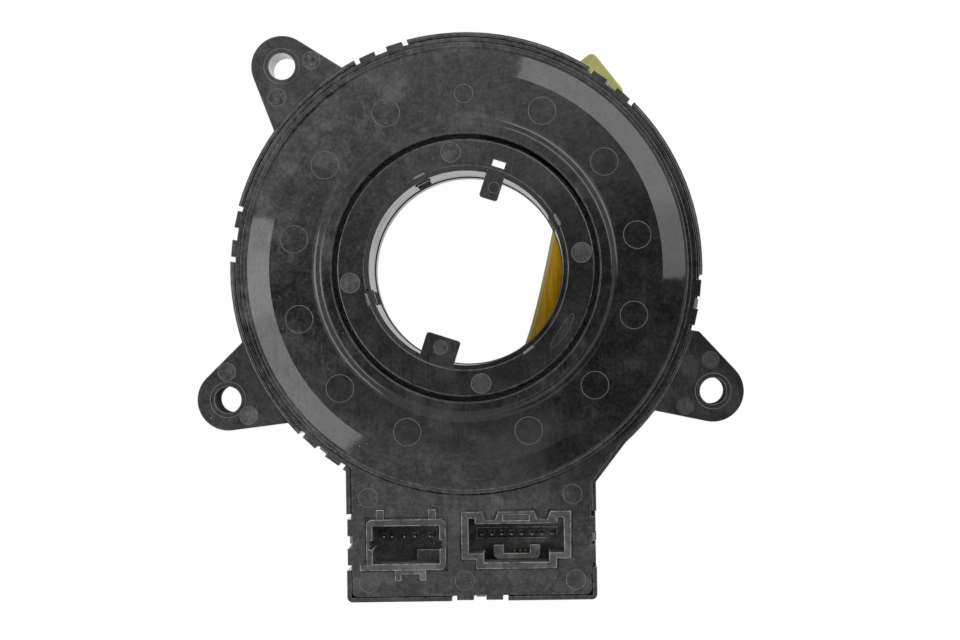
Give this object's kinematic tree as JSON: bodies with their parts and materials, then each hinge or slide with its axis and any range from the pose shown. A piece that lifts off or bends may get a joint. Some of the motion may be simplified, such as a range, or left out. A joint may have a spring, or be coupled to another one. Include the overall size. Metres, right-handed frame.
{
  "type": "steering clock spring",
  "caption": "Steering clock spring: ring-shaped stator with screw ears and a socket block, and a turning rotor with a keyed bore, wheel-side socket and airbag lead.",
  "frame": {"origin": "on the rotor's turning axis, in the plane where the three screw ears seat", "axes": "+Z along the turning axis towards the steering column side, +Y away from the socket block, +X to the right when looking at the column side"},
  "size_m": [0.1196, 0.1246, 0.036],
  "materials": {
    "case_plastic": "black moulded plastic, semi-gloss",
    "cover_plastic": "black moulded plastic, semi-gloss",
    "ring_plastic": "black moulded plastic, satin",
    "rotor_plastic": "black moulded plastic, satin",
    "socket_plastic": "black moulded plastic, satin",
    "inner_plastic": "dark moulded plastic",
    "pin_metal": "tin plated",
    "contact_brass": "bright brass",
    "cable_film": "white polyester film",
    "sheet_film": "low-friction film",
    "lead_sleeve": "amber sleeve with drawn streaks",
    "plug_plastic": "pale yellow moulded plastic",
    "lock_plastic": "pale grey moulded plastic"
  },
  "bodies": {
    "stator": {"stator_case": "case_plastic", "stator_cover": "cover_plastic", "left_socket": "socket_plastic", "right_socket": "socket_plastic", "left_pins": "pin_metal", "right_pins": "pin_metal", "shorting_clip": "socket_plastic", "shorting_contacts": "contact_brass", "lead_frame": "inner_plastic", "outer_terminal_block": "inner_plastic", "cover_sheet": "sheet_film", "flat_cable": "cable_film"},
    "rotor": {"rotor_hub": "rotor_plastic", "rotor_ring": "ring_plastic", "slip_sheet": "sheet_film", "inner_terminal_block": "inner_plastic", "wheel_socket": "socket_plastic", "wheel_pins": "pin_metal", "lead_cover": "rotor_plastic", "airbag_lead": "lead_sleeve", "airbag_plug": "plug_plastic", "plug_contacts": "contact_brass", "plug_lock": "lock_plastic"}
  },
  "joints": [
    {"name": "rotor_turn", "type": "hinge", "parent": "stator", "child": "rotor", "pos_m": [0, 0, 0], "axis": [0, 0, 1], "range_deg": [-900, 900], "deforming": ["flat_cable"]}
  ]
}
